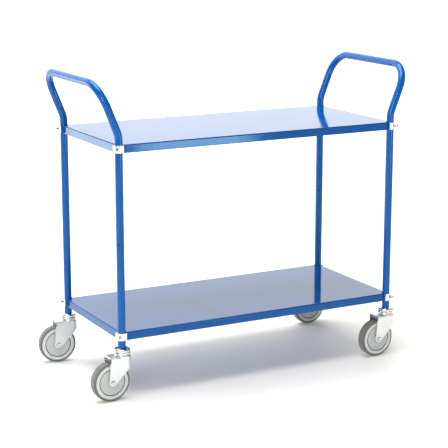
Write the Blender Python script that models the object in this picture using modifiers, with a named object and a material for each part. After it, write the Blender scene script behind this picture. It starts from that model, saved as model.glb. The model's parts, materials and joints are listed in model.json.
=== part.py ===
"""Two-shelf platform trolley: two bent tube end frames, two pressed sheet shelves clamped
at their corners, and four swivel castors. Metres, +Z up, +X to the right, front is -Y.
The origin is on the floor, under the middle of the whole trolley's outer box."""

import math

import bpy
import bmesh
from mathutils import Matrix, Vector

# Driving dimensions
SHELF_LENGTH = 1.000
SHELF_WIDTH = 0.455
UPPER_SHELF_TOP = 0.805
SHELF_SPACING = 0.590
SHEET = 0.0015
FLANGE_HEIGHT = 0.026
EDGE_RADIUS = 0.003

TUBE_RADIUS = 0.0125
TUBE_WALL = 0.0015
LEG_INSET_X = 0.0065
LEG_INSET_Y = 0.0062
LEG_BOTTOM = 0.1645
HANDLE_RISE = 0.184
HANDLE_BEND_START = 0.014
HANDLE_LEAN = math.radians(22.0)
LEAN_BEND_RADIUS = 0.070
GRIP_BEND_RADIUS = 0.078

CLAMP_SHEET = 0.0018
CLAMP_HEIGHT = 0.023
CLAMP_EAR = 0.0045
CLAMP_DROP = 0.0130
CLAMP_OPENING = math.radians(12)
BOLT_RADIUS = 0.0029
BOLT_HOLE_RADIUS = 0.00325
BOLT_HEX_FLATS = 0.010
BOLT_HEAD = 0.004
CAP_NUT_HEX = 0.0060
CAP_NUT_DOME = 0.0078
CAP_NUT_ROUND = 0.0047
SPARE_HOLE_RADIUS = 0.0028

WHEEL_RADIUS = 0.0625
WHEEL_WIDTH = 0.032
CORE_RADIUS = 0.0545
CORE_DISC_RADIUS = 0.0415
CORE_GROOVE = 0.0014
CORE_DISC_SETBACK = 0.0010
HUB_RADIUS = 0.0110
HUB_FOOT_RADIUS = 0.0125
HUB_RISE = 0.0030
# The tyre's shoulder as (radius, distance back from the wheel's face).
TYRE_SHOULDER = [(0.0575, 0.0009), (0.0603, 0.0030), (0.0618, 0.0060), (WHEEL_RADIUS, 0.0100)]
TRAIL = 0.042
CROWN_TOP = 0.1430
CROWN_SHEET = 0.003
FORK_SHEET = 0.0026
FORK_HALF_WIDTH = 0.0225
FORK_TIP_RADIUS = 0.0120
FORK_NOSE = 0.0065
FORK_TIP_ARC = (math.radians(184), math.radians(318))
# The fork's front edge in its side view, from the tip's arc up to the crown.
FORK_FRONT_EDGE = [(0.0140, 0.1010), (0.0250, 0.1130), (0.0310, 0.1230), (0.0310, CROWN_TOP)]
FORK_BACK_SLANT = 0.006
LIP_BOTTOM = 0.1290
LIP_REACH = 0.0085
LIP_INSET = 0.001
RACE_STEPS = 24
HEAD_BOTTOM = 0.1490
HEAD_RADIUS = 0.0270
# The swivel head's rolled shoulder as (inset, drop) from its radius and top.
HEAD_SHOULDER = [(0.0055, 0.0), (0.0025, 0.0008), (0.0007, 0.0026), (0.0, 0.0055)]
HEAD_LIP_RISE = 0.0025
HEAD_LIP_INSET = 0.0012
RACE_RADIUS = 0.0235
KING_RADIUS = 0.005
KING_HEX_FLATS = 0.017
KING_HEAD = 0.0064
KING_END_DROP = 0.006
AXLE_RADIUS = 0.004
AXLE_HEX_FLATS = 0.013
AXLE_HEAD = 0.0053
AXLE_NUT = 0.0065
AXLE_OVERRUN = 0.009
INSERT_LENGTH = 0.030
INSERT_TAPER = 0.0015
INSERT_TAPER_DROP = 0.003

GAP = 0.0003
OVERLAP = 0.003
MERGE = 1e-6
SCREW_MERGE = 1e-5
SMOOTH_ANGLE = math.radians(32)
TUBE_SIDES = 20
TURN_STEPS = 24
WHEEL_STEPS = 28
PIN_STEPS = 20
INSERT_STEPS = 16
SMALL_STEPS = 10
ARC_STEPS = 4
HOLLOW_STEPS = 8
CLAMP_STEPS = 12
NOSE_STEPS = 14
TIP_STEPS = 8
DOME_STEPS = 5

SPARE_HOLE_HEIGHT = UPPER_SHELF_TOP - SHELF_SPACING / 2 - CLAMP_DROP
LEG_X = SHELF_LENGTH / 2 - LEG_INSET_X
LEG_Y = SHELF_WIDTH / 2 - LEG_INSET_Y
SHELF_TOPS = {"upper": UPPER_SHELF_TOP, "lower": UPPER_SHELF_TOP - SHELF_SPACING}
CORNERS = {
    "front_left": (-1, -1),
    "front_right": (1, -1),
    "rear_left": (-1, 1),
    "rear_right": (1, 1),
}
# The castors trail to the left, so the shelves' middle stands off the whole trolley's middle.
SHELF_CENTRE_X = 0.0145
SHELF_CENTRE_Y = -0.0033
# Degrees that each castor has turned from pointing its wheel straight towards -X.
CASTOR_REST = {"front_left": 2.0, "front_right": 3.0, "rear_left": -7.0, "rear_right": 1.0}

BLUE = ("blue_enamel", (0.004, 0.115, 0.52, 1.0), 0.12, 0.0)
ZINC = ("zinc_plate", (0.80, 0.82, 0.84, 1.0), 0.28, 1.0)
TYRE_GREY = ("tyre_rubber", (0.23, 0.235, 0.225, 1.0), 0.62, 0.0)
CORE_GREY = ("core_plastic", (0.50, 0.52, 0.53, 1.0), 0.42, 0.0)
DARK_PLASTIC = ("dark_plastic", (0.03, 0.03, 0.035, 1.0), 0.5, 0.0)


def clear_scene():
    for obj in list(bpy.data.objects):
        bpy.data.objects.remove(obj, do_unlink=True)


def new_collection(name):
    collection = bpy.data.collections.new(name)
    bpy.context.scene.collection.children.link(collection)
    return collection


def material(spec):
    name, colour, roughness, metallic = spec
    made = bpy.data.materials.get(name)
    if made:
        return made
    made = bpy.data.materials.new(name)
    made.use_nodes = True
    shader = made.node_tree.nodes["Principled BSDF"]
    shader.inputs["Base Color"].default_value = colour
    shader.inputs["Roughness"].default_value = roughness
    shader.inputs["Metallic"].default_value = metallic
    return made


def workpiece(mesh, name="workpiece"):
    obj = bpy.data.objects.new(name, mesh)
    CUTTERS.objects.link(obj)
    return obj


def baked(obj):
    """The mesh of an object with its curve or modifiers applied; the object is removed."""
    bpy.context.view_layer.update()
    graph = bpy.context.evaluated_depsgraph_get()
    mesh = bpy.data.meshes.new_from_object(obj.evaluated_get(graph))
    bpy.data.objects.remove(obj, do_unlink=True)
    work = bmesh.new()
    work.from_mesh(mesh)
    bmesh.ops.remove_doubles(work, verts=work.verts, dist=MERGE)
    bmesh.ops.recalc_face_normals(work, faces=work.faces)
    work.to_mesh(mesh)
    work.free()
    return mesh


def combined(base, others, operation):
    """base with every other mesh cut from it or joined to it, as one mesh."""
    target = workpiece(base)
    tools = []
    for other in others:
        tool = workpiece(other)
        tools.append(tool)
        step = target.modifiers.new("step", "BOOLEAN")
        step.operation = operation
        step.solver = "EXACT"
        step.object = tool
    mesh = baked(target)
    for tool in tools:
        bpy.data.objects.remove(tool, do_unlink=True)
    return mesh


def moved(mesh, matrix):
    copy = mesh.copy()
    copy.transform(matrix)
    return copy


def cylinder(radius, low, high, sides=SMALL_STEPS):
    """An upright prism with this many sides; six of them make a hexagon."""
    mesh = bpy.data.meshes.new("cylinder")
    work = bmesh.new()
    bmesh.ops.create_cone(
        work, cap_ends=True, segments=sides, radius1=radius, radius2=radius, depth=high - low
    )
    bmesh.ops.translate(work, verts=work.verts, vec=(0, 0, (low + high) / 2))
    work.to_mesh(mesh)
    work.free()
    return mesh


def hexagon(flats, low, high):
    return cylinder(flats / 2 / math.cos(math.pi / 6), low, high, 6)


def turned(profile, steps=TURN_STEPS):
    """A profile of (radius, height), from its top down its outer side, turned about Z."""
    mesh = bpy.data.meshes.new("turned")
    points = [(radius, 0, height) for radius, height in profile]
    ends = range(len(points))
    mesh.from_pydata(points, [(i, (i + 1) % len(points)) for i in ends], [])
    obj = workpiece(mesh)
    screw = obj.modifiers.new("turn", "SCREW")
    screw.steps = steps
    screw.render_steps = steps
    screw.use_merge_vertices = True
    screw.merge_threshold = SCREW_MERGE
    return baked(obj)


def plate(outline, low, high):
    """A flat outline of (x, y) points with thickness from low to high."""
    curve = bpy.data.curves.new("outline", "CURVE")
    curve.dimensions = "2D"
    curve.fill_mode = "BOTH"
    curve.extrude = (high - low) / 2
    spline = curve.splines.new("POLY")
    spline.points.add(len(outline) - 1)
    for point, (x, y) in zip(spline.points, outline):
        point.co = (x, y, 0, 1)
    spline.use_cyclic_u = True
    obj = bpy.data.objects.new("outline", curve)
    CUTTERS.objects.link(obj)
    mesh = baked(obj)
    mesh.transform(Matrix.Translation((0, 0, (low + high) / 2)))
    return mesh


def arc(centre, radius, start, end, steps=ARC_STEPS):
    """Points on a flat arc, angles in radians."""
    angles = [start + (end - start) * i / steps for i in range(steps + 1)]
    return [(centre[0] + radius * math.cos(a), centre[1] + radius * math.sin(a)) for a in angles]


def rounded_corner(before, corner, after, radius, steps=ARC_STEPS):
    """Points of a bend of this radius that replaces the corner of a 3-D path."""
    back = (before - corner).normalized()
    ahead = (after - corner).normalized()
    half = back.angle(ahead) / 2
    start = corner + back * radius / math.tan(half)
    centre = corner + (back + ahead).normalized() * radius / math.sin(half)
    turn = math.pi - 2 * half
    spin = (corner - before).cross(after - corner).normalized()
    rotations = [Matrix.Rotation(turn * i / steps, 3, spin) for i in range(steps + 1)]
    return [centre + rotation @ (start - centre) for rotation in rotations]


def bent_path():
    """The centre line of the right end frame: up the front leg, over the grip, down the rear."""
    bend = UPPER_SHELF_TOP + HANDLE_BEND_START
    bend += LEAN_BEND_RADIUS * math.tan(HANDLE_LEAN / 2)
    grip = UPPER_SHELF_TOP + HANDLE_RISE
    grip_x = LEG_X + (grip - bend) * math.tan(HANDLE_LEAN)
    corners = [
        Vector((LEG_X, -LEG_Y, LEG_BOTTOM)),
        Vector((LEG_X, -LEG_Y, bend)),
        Vector((grip_x, -LEG_Y, grip)),
        Vector((grip_x, LEG_Y, grip)),
        Vector((LEG_X, LEG_Y, bend)),
        Vector((LEG_X, LEG_Y, LEG_BOTTOM)),
    ]
    radii = [LEAN_BEND_RADIUS, GRIP_BEND_RADIUS, GRIP_BEND_RADIUS, LEAN_BEND_RADIUS]
    path = [corners[0]]
    for i, radius in enumerate(radii, start=1):
        path += rounded_corner(corners[i - 1], corners[i], corners[i + 1], radius)
    return path + [corners[-1]]


def corner_matrix(corner, height):
    """Places a part whose +Z is to point out along the corner's diagonal."""
    side_x, side_y = CORNERS[corner]
    outwards = Vector((side_x, side_y, 0)).to_track_quat("Z", "Y").to_matrix().to_4x4()
    return Matrix.Translation((side_x * LEG_X, side_y * LEG_Y, height)) @ outwards


def bolt_heights():
    return [top - CLAMP_DROP for top in SHELF_TOPS.values()]


def frame_mesh(side):
    """One bent tube with its legs' bolt holes and spare mid-height holes."""
    curve = bpy.data.curves.new("tube", "CURVE")
    curve.dimensions = "3D"
    curve.bevel_depth = TUBE_RADIUS - TUBE_WALL / 2
    curve.bevel_resolution = (TUBE_SIDES - 4) // 2
    curve.use_fill_caps = False
    path = bent_path()
    spline = curve.splines.new("POLY")
    spline.points.add(len(path) - 1)
    for point, place in zip(spline.points, path):
        point.co = (side * place.x, place.y, place.z, 1)
    obj = bpy.data.objects.new("tube", curve)
    CUTTERS.objects.link(obj)
    tube = workpiece(baked(obj))
    wall = tube.modifiers.new("wall", "SOLIDIFY")
    wall.thickness = TUBE_WALL
    wall.offset = 0
    wall.use_even_offset = True
    reach = 2 * TUBE_RADIUS
    holes = []
    for corner, (side_x, _) in CORNERS.items():
        if side_x != side:
            continue
        for height in bolt_heights():
            hole = cylinder(BOLT_HOLE_RADIUS, -reach, reach)
            holes.append(moved(hole, corner_matrix(corner, height)))
        hole = cylinder(SPARE_HOLE_RADIUS, -reach, reach)
        holes.append(moved(hole, corner_matrix(corner, SPARE_HOLE_HEIGHT)))
    return combined(baked(tube), holes, "DIFFERENCE")


def shelf_outline(inset):
    """The shelf's plan with a hollow at each corner that the leg nests in."""
    half_x = SHELF_LENGTH / 2 - inset
    half_y = SHELF_WIDTH / 2 - inset
    hollow = TUBE_RADIUS + 2 * GAP + inset
    points = []
    for side_x, side_y in ((1, 1), (-1, 1), (-1, -1), (1, -1)):
        from_side = math.acos((half_x - LEG_X) / hollow)
        from_end = math.acos((half_y - LEG_Y) / hollow)
        start = -from_side
        end = from_end + math.pi / 2 - 2 * math.pi
        curve = arc((LEG_X, LEG_Y), hollow, start, end, HOLLOW_STEPS)
        if side_x * side_y < 0:
            curve.reverse()
        points += [(side_x * x, side_y * y) for x, y in curve]
    return points


def shelf_mesh(top):
    """A pressed tray turned upside down: a flat top with a flange all round."""
    body = workpiece(plate(shelf_outline(0), top - FLANGE_HEIGHT, top))
    work = bmesh.new()
    work.from_mesh(body.data)
    rim = [edge for edge in work.edges if all(v.co.z > top - GAP for v in edge.verts)]
    outer = [edge for edge in rim if is_straight_rim(edge)]
    bmesh.ops.bevel(
        work, geom=outer, offset=EDGE_RADIUS, segments=3, affect="EDGES", profile=0.5
    )
    work.to_mesh(body.data)
    work.free()
    low = top - 2 * FLANGE_HEIGHT
    hollow = plate(shelf_outline(SHEET), low, top - SHEET)
    holes = []
    reach = 3 * TUBE_RADIUS
    for corner in CORNERS:
        hole = cylinder(BOLT_HOLE_RADIUS, -reach, reach)
        holes.append(moved(hole, corner_matrix(corner, top - CLAMP_DROP)))
    return combined(baked(body), [hollow] + holes, "DIFFERENCE")


def is_straight_rim(edge):
    """True for an edge that runs along a long side or an end of the shelf."""
    first, second = (vert.co for vert in edge.verts)
    along_side = abs(abs(first.y) - SHELF_WIDTH / 2) < GAP and abs(first.y - second.y) < GAP
    along_end = abs(abs(first.x) - SHELF_LENGTH / 2) < GAP and abs(first.x - second.x) < GAP
    return along_side or along_end


def clamp_mesh():
    """A half-round saddle with two small ears, its middle facing +Z once placed."""
    inner = TUBE_RADIUS + GAP
    outer = inner + CLAMP_SHEET
    start, end = CLAMP_OPENING, math.pi - CLAMP_OPENING
    outside = arc((0, 0), outer, start, end, CLAMP_STEPS)
    inside = arc((0, 0), inner, end, start, CLAMP_STEPS)
    low = inner * math.sin(start)
    high = low + CLAMP_SHEET
    root = outer * math.cos(start) + CLAMP_SHEET / 2
    ear = outer * math.cos(start) + CLAMP_EAR
    outline = [(ear, low), (ear, high), (root, high)]
    outline += outside[2:-2]
    outline += [(-root, high), (-ear, high), (-ear, low)]
    outline += inside
    saddle = plate(outline, -CLAMP_HEIGHT / 2, CLAMP_HEIGHT / 2)
    saddle.transform(Matrix.Rotation(math.pi / 2, 4, "X"))
    hole = cylinder(BOLT_HOLE_RADIUS, 0, 2 * TUBE_RADIUS)
    return combined(saddle, [hole], "DIFFERENCE")


def corner_bolt_mesh():
    """An M6 bolt along Z, its head inside the shelf's corner."""
    seat = -(TUBE_RADIUS + 3 * GAP + SHEET)
    tip = TUBE_RADIUS + CLAMP_SHEET + 2 * GAP + CAP_NUT_HEX
    head = hexagon(BOLT_HEX_FLATS, seat - BOLT_HEAD, seat)
    return combined(head, [cylinder(BOLT_RADIUS, seat - BOLT_HEAD / 2, tip)], "UNION")


def cap_nut_mesh():
    """An M6 domed nut along Z, outside the clamp."""
    seat = TUBE_RADIUS + CLAMP_SHEET + 2 * GAP
    shoulder = seat + CAP_NUT_HEX
    dome = [(0, shoulder + CAP_NUT_DOME)]
    for i in range(1, DOME_STEPS + 1):
        angle = math.pi / 2 * (1 - i / DOME_STEPS)
        rise = CAP_NUT_DOME * math.sin(angle)
        dome.append((CAP_NUT_ROUND * math.cos(angle), shoulder + rise))
    dome += [(CAP_NUT_ROUND, shoulder - CAP_NUT_HEX / 2), (0, shoulder - CAP_NUT_HEX / 2)]
    body = combined(
        hexagon(BOLT_HEX_FLATS, seat, shoulder), [turned(dome, SMALL_STEPS)], "UNION"
    )
    thread = cylinder(BOLT_RADIUS + GAP, seat - BOLT_HEAD, shoulder + 2 * GAP)
    return combined(body, [thread], "DIFFERENCE")


def insert_mesh():
    """The plug pressed into a leg's end, threaded for the king bolt."""
    low = LEG_BOTTOM + GAP
    radius = TUBE_RADIUS - TUBE_WALL - GAP
    bore = KING_RADIUS + GAP
    top = low + INSERT_LENGTH
    profile = [
        (bore, top),
        (radius - INSERT_TAPER, top),
        (radius, top - INSERT_TAPER_DROP),
        (radius, low),
        (bore, low),
    ]
    return turned(profile, INSERT_STEPS)


def king_bolt_mesh():
    """The bolt that the fork turns on, up through the swivel head into the insert."""
    seat = CROWN_TOP - CROWN_SHEET - GAP
    head = hexagon(KING_HEX_FLATS, seat - KING_HEAD, seat)
    end = LEG_BOTTOM + INSERT_LENGTH - KING_END_DROP
    shank = cylinder(KING_RADIUS, seat - OVERLAP, end, PIN_STEPS)
    return combined(head, [shank], "UNION")


def head_mesh():
    """The fixed upper cup of the swivel bearing, a pressed ring under the leg."""
    top = LEG_BOTTOM - GAP
    bore = KING_RADIUS + GAP
    profile = [(bore, top)]
    profile += [(HEAD_RADIUS - inset, top - drop) for inset, drop in HEAD_SHOULDER]
    profile += [(HEAD_RADIUS, HEAD_BOTTOM + HEAD_LIP_RISE)]
    profile += [(HEAD_RADIUS - HEAD_LIP_INSET, HEAD_BOTTOM), (bore, HEAD_BOTTOM)]
    return turned(profile)


def fork_plan(inset, back):
    """A fork's plan: straight cheeks towards -X, closed by a half round at the front."""
    half = FORK_HALF_WIDTH - inset
    front = arc((FORK_NOSE, 0), half, -math.pi / 2, math.pi / 2, NOSE_STEPS)
    return [(back, -half)] + front + [(back, half)]


def fork_side():
    """A fork's side view as (x, z): wide under the crown, narrow and round at the axle."""
    tip = arc((-TRAIL, WHEEL_RADIUS), FORK_TIP_RADIUS, *FORK_TIP_ARC, TIP_STEPS)
    return [(-TRAIL - FORK_BACK_SLANT, CROWN_TOP)] + tip + FORK_FRONT_EDGE


def fork_mesh():
    """The pressed fork, its swivel axis on Z and its wheel towards -X."""
    low = WHEEL_RADIUS - 2 * FORK_TIP_RADIUS
    back = -TRAIL - 2 * FORK_TIP_RADIUS
    cheeks = plate(fork_plan(0, back), low, CROWN_TOP)
    inside = plate(fork_plan(FORK_SHEET, 2 * back), low - TRAIL, CROWN_TOP - CROWN_SHEET)
    side = plate(fork_side(), -TRAIL, TRAIL)
    side.transform(Matrix.Rotation(math.pi / 2, 4, "X"))
    shell = combined(combined(cheeks, [inside], "DIFFERENCE"), [side], "INTERSECT")
    lip_back = -TRAIL - LIP_REACH
    lip = fork_box(lip_back, lip_back + FORK_SHEET, LIP_BOTTOM, CROWN_TOP)
    tongue = fork_box(lip_back, -TRAIL, CROWN_TOP - CROWN_SHEET, CROWN_TOP)
    race = cylinder(RACE_RADIUS, CROWN_TOP - CROWN_SHEET / 2, HEAD_BOTTOM - GAP, RACE_STEPS)
    solid = combined(shell, [lip, tongue, race], "UNION")
    king_hole = cylinder(KING_RADIUS + 2 * GAP, LIP_BOTTOM, LEG_BOTTOM, PIN_STEPS)
    axle_hole = cylinder(AXLE_RADIUS + GAP, -TRAIL, TRAIL)
    axle_hole.transform(axle_matrix())
    return combined(solid, [king_hole, axle_hole], "DIFFERENCE")


def fork_box(back, front, low, high):
    """A block across the fork, a little narrower than its cheeks."""
    half = FORK_HALF_WIDTH - LIP_INSET
    return plate([(back, -half), (front, -half), (front, half), (back, half)], low, high)


def axle_matrix():
    """Lays a part made along Z on the axle, its +Z towards -Y."""
    place = Matrix.Translation((-TRAIL, 0, WHEEL_RADIUS))
    return place @ Matrix.Rotation(math.pi / 2, 4, "X")


def axle_bolt_mesh():
    """The bolt that the wheel turns on, its head outside one cheek."""
    seat = FORK_HALF_WIDTH + GAP
    head = hexagon(AXLE_HEX_FLATS, seat, seat + AXLE_HEAD)
    shank = cylinder(AXLE_RADIUS, -seat - AXLE_OVERRUN, seat + OVERLAP, PIN_STEPS)
    return combined(head, [shank], "UNION")


def axle_nut_mesh():
    """The axle bolt's nut, outside the other cheek."""
    seat = -FORK_HALF_WIDTH - GAP
    nut = hexagon(AXLE_HEX_FLATS, seat - AXLE_NUT, seat)
    thread = cylinder(AXLE_RADIUS + GAP, seat - 2 * AXLE_NUT, seat + AXLE_NUT)
    return combined(nut, [thread], "DIFFERENCE")


def mirrored_profile(half):
    """A closed profile from its upper half, listed from the bore outwards at its top."""
    return half + [(radius, -height) for radius, height in reversed(half)]


def core_mesh():
    """The wheel's moulded core: a hub, a flat disc, a groove and the rim's flat ring."""
    face = WHEEL_WIDTH / 2
    disc = face - CORE_DISC_SETBACK
    groove = CORE_DISC_RADIUS + CORE_GROOVE
    half = [
        (AXLE_RADIUS + GAP, face + HUB_RISE),
        (HUB_RADIUS, face + HUB_RISE),
        (HUB_FOOT_RADIUS, disc),
        (CORE_DISC_RADIUS, disc),
        (CORE_DISC_RADIUS, disc - CORE_GROOVE),
        (groove, disc - CORE_GROOVE),
        (groove, face),
        (CORE_RADIUS, face),
    ]
    return turned(mirrored_profile(half), WHEEL_STEPS)


def tyre_mesh():
    """The tyre, a thick band round the core with rounded shoulders."""
    face = WHEEL_WIDTH / 2
    half = [(CORE_RADIUS + GAP, face - GAP)]
    half += [(radius, face - setback) for radius, setback in TYRE_SHOULDER]
    return turned(mirrored_profile(half), WHEEL_STEPS)


def add_part(name, mesh, spec, parent=None, matrix=None):
    mesh.materials.clear()
    mesh.materials.append(material(spec))
    mesh.shade_smooth()
    mesh.set_sharp_from_angle(angle=SMOOTH_ANGLE)
    obj = bpy.data.objects.new(name, mesh)
    TROLLEY.objects.link(obj)
    obj.parent = parent or ROOT
    if matrix:
        obj.matrix_local = matrix
    return obj


def add_pivot(name, matrix, parent):
    """An empty that carries other parts: the root, or one on a joint's axis."""
    pivot = bpy.data.objects.new(name, None)
    TROLLEY.objects.link(pivot)
    pivot.parent = parent
    pivot.matrix_local = matrix
    return pivot


def add_frames():
    add_part("left_frame", frame_mesh(-1), BLUE)
    add_part("right_frame", frame_mesh(1), BLUE)


def add_shelves():
    for level, top in SHELF_TOPS.items():
        add_part(f"{level}_shelf", shelf_mesh(top), BLUE)


def add_corner_fasteners():
    clamp = clamp_mesh()
    bolt = corner_bolt_mesh()
    nut = cap_nut_mesh()
    for level, top in SHELF_TOPS.items():
        for corner in CORNERS:
            place = corner_matrix(corner, top - CLAMP_DROP)
            add_part(f"clamp_{level}_{corner}", clamp, ZINC, matrix=place)
            add_part(f"bolt_{level}_{corner}", bolt, ZINC, matrix=place)
            add_part(f"cap_nut_{level}_{corner}", nut, ZINC, matrix=place)


def add_castors():
    insert = insert_mesh()
    head = head_mesh()
    king = king_bolt_mesh()
    fork = fork_mesh()
    axle_bolt = axle_bolt_mesh()
    axle_nut = axle_nut_mesh()
    core = core_mesh()
    tyre = tyre_mesh()
    for corner, (side_x, side_y) in CORNERS.items():
        leg = Matrix.Translation((side_x * LEG_X, side_y * LEG_Y, 0))
        add_part(f"leg_insert_{corner}", insert, DARK_PLASTIC, matrix=leg)
        add_part(f"swivel_head_{corner}", head, ZINC, matrix=leg)
        add_part(f"king_bolt_{corner}", king, ZINC, matrix=leg)
        turn = Matrix.Rotation(math.radians(CASTOR_REST[corner]), 4, "Z")
        swivel = add_pivot(f"swivel_pivot_{corner}", leg @ turn, ROOT)
        add_part(f"fork_{corner}", fork, ZINC, swivel)
        add_part(f"axle_bolt_{corner}", axle_bolt, ZINC, swivel, axle_matrix())
        add_part(f"axle_nut_{corner}", axle_nut, ZINC, swivel, axle_matrix())
        spin = add_pivot(f"wheel_pivot_{corner}", axle_matrix(), swivel)
        add_part(f"wheel_core_{corner}", core, CORE_GREY, spin)
        add_part(f"tyre_{corner}", tyre, TYRE_GREY, spin)


clear_scene()
TROLLEY = new_collection("platform_trolley")
CUTTERS = new_collection("cutters")
ROOT = add_pivot("trolley_root", Matrix.Translation((SHELF_CENTRE_X, SHELF_CENTRE_Y, 0)), None)
add_frames()
add_shelves()
add_corner_fasteners()
add_castors()
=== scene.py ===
import json
import math

import bmesh
import bpy
from mathutils import Matrix, Vector


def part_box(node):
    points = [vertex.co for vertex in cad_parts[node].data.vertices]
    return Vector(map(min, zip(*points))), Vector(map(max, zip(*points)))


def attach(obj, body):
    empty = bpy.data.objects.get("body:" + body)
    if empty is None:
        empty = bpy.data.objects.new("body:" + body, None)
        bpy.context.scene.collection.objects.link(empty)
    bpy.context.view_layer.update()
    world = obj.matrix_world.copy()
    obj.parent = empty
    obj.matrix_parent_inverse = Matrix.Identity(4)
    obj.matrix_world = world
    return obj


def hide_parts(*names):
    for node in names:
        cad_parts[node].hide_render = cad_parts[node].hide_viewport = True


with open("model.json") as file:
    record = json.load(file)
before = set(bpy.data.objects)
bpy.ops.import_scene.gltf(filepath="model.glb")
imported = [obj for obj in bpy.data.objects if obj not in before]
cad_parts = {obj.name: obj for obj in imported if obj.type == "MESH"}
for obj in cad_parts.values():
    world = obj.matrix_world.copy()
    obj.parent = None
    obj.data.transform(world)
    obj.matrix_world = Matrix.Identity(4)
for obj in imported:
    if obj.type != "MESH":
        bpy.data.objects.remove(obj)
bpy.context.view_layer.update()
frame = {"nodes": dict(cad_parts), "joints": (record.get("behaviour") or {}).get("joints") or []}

# Sizes in metres. Places come from the frame; these are the sections and radii.
# WELD and the hair's breadth TRIM clean up after cuts.
WELD = 2e-6
TRIM = 0.00001
TUBE_RADIUS = 0.0125
TUBE_WALL = 0.0015
SHEET = 0.0015
SHELF_EDGE_RADIUS = 0.0034
# A narrow flat strip next to each bend keeps the big flat faces shaded flat.
FLAT_RIM = 0.0008
HANDLE_LEAN = math.radians(22.0)
LEAN_BEND_RADIUS = 0.070
GRIP_BEND_RADIUS = 0.078
BEND_START = 0.014
CLAMP_DROP = 0.0130
CLAMP_SHEET = 0.0018
CLAMP_HEIGHT = 0.023
CLAMP_EAR = 0.0045
BOLT_HOLE_RADIUS = 0.00325
SPARE_HOLE_RADIUS = 0.0028
HOLE_RIM = 0.008
CAP_NUT_HEX = 0.0060
CAP_NUT_DOME = 0.0078
M6_FLATS = 0.010
M6_SHANK = 0.0029
M6_THREAD = 0.0032
M8_FLATS = 0.013
GAP = 0.0003
FORK_SHEET = 0.0026
FORK_HALF_WIDTH = 0.0225
FORK_NOSE = 0.0065
FORK_TIP_RADIUS = 0.0120
CROWN_BEND = 0.0050
LIP_BEND = 0.0045
LIP_LENGTH = 0.0093
RACE_RADIUS = 0.0235
AXLE_RADIUS = 0.004
AXLE_WASHER_RADIUS = 0.0074
KING_RADIUS = 0.005
CRIMPS = 8
TRAIL = 0.042
WHEEL_WIDTH = 0.032
CORE_RADIUS = 0.0545
DISC_RADIUS = 0.0415

CORNERS = {
    "front_left": (-1, -1),
    "front_right": (1, -1),
    "rear_left": (-1, 1),
    "rear_right": (1, 1),
}
JOINTS = {joint["name"]: joint for joint in frame["joints"]}


# ---- meshes ----------------------------------------------------------------------------

def object_from(work, name, smooth_angle=32):
    """An object from a bmesh, with faces turned outwards and creases kept sharp."""
    bmesh.ops.remove_doubles(work, verts=work.verts, dist=WELD)
    bmesh.ops.recalc_face_normals(work, faces=work.faces)
    mesh = bpy.data.meshes.new(name)
    work.to_mesh(mesh)
    work.free()
    mesh.shade_smooth()
    mesh.set_sharp_from_angle(angle=math.radians(smooth_angle))
    obj = bpy.data.objects.new(name, mesh)
    bpy.context.scene.collection.objects.link(obj)
    return obj


def applied(obj, smooth_angle=32):
    """The same object with its modifiers turned into mesh."""
    bpy.context.view_layer.update()
    graph = bpy.context.evaluated_depsgraph_get()
    mesh = bpy.data.meshes.new_from_object(obj.evaluated_get(graph))
    work = bmesh.new()
    work.from_mesh(mesh)
    bmesh.ops.remove_doubles(work, verts=work.verts, dist=WELD)
    bmesh.ops.dissolve_degenerate(work, edges=work.edges, dist=WELD)
    work.to_mesh(mesh)
    work.free()
    obj.modifiers.clear()
    obj.data = mesh
    mesh.shade_smooth()
    mesh.set_sharp_from_angle(angle=math.radians(smooth_angle))
    return obj


def combined(target, tools, operation, smooth_angle=32):
    """The target after a Boolean with each tool, which are used up."""
    for tool in tools:
        step = target.modifiers.new("step", "BOOLEAN")
        step.operation = operation
        step.solver = "EXACT"
        step.object = tool
    applied(target, smooth_angle)
    for tool in tools:
        bpy.data.objects.remove(tool, do_unlink=True)
    return target


def loft(rings, name, cap_first=False, cap_last=False, joined=False):
    """A skin over rings that all have the same number of points. joined skins the last ring
    back to the first."""
    work = bmesh.new()
    rows = [[work.verts.new(point) for point in ring] for ring in rings]
    count = len(rings[0])
    following = rows[1:] + rows[:1] if joined else rows[1:]
    for lower, upper in zip(rows, following):
        for i in range(count):
            j = (i + 1) % count
            work.faces.new((lower[i], lower[j], upper[j], upper[i]))
    if cap_first:
        work.faces.new(rows[0])
    if cap_last:
        work.faces.new(rows[-1])
    return object_from(work, name)


def turned(profile, name, steps=96, wobble=None):
    """A closed profile of (radius, height) turned about Z. wobble(angle, radius, height)
    gives a new radius, for dents that repeat round the part."""
    work = bmesh.new()
    rows = []
    for k in range(steps):
        angle = 2 * math.pi * k / steps
        row = []
        for radius, height in profile:
            if wobble:
                radius = wobble(angle, radius, height)
            place = (radius * math.cos(angle), radius * math.sin(angle), height)
            row.append(work.verts.new(place))
        rows.append(row)
    count = len(profile)
    for k in range(steps):
        here, after = rows[k], rows[(k + 1) % steps]
        for i in range(count):
            j = (i + 1) % count
            work.faces.new((here[i], after[i], after[j], here[j]))
    return object_from(work, name)


def solid_turned(profile, steps=48, name="turned"):
    """A turned solid whose profile may touch the axis."""
    nothing = 1e-7
    work = bmesh.new()
    verts = [work.verts.new((radius, 0, height)) for radius, height in profile]
    edges = [work.edges.new((verts[i], verts[(i + 1) % len(verts)])) for i in range(len(verts))]
    whole = 2 * math.pi
    geometry = verts + edges
    bmesh.ops.spin(work, geom=geometry, cent=(0, 0, 0), axis=(0, 0, 1), angle=whole, steps=steps)
    bmesh.ops.remove_doubles(work, verts=work.verts, dist=nothing)
    bmesh.ops.dissolve_degenerate(work, edges=work.edges, dist=nothing)
    loose = [edge for edge in work.edges if not edge.link_faces]
    bmesh.ops.delete(work, geom=loose, context="EDGES")
    inner = [edge for edge in work.edges if all(v.co.xy.length < nothing for v in edge.verts)]
    bmesh.ops.delete(work, geom=inner, context="EDGES")
    return object_from(work, name)


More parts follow.
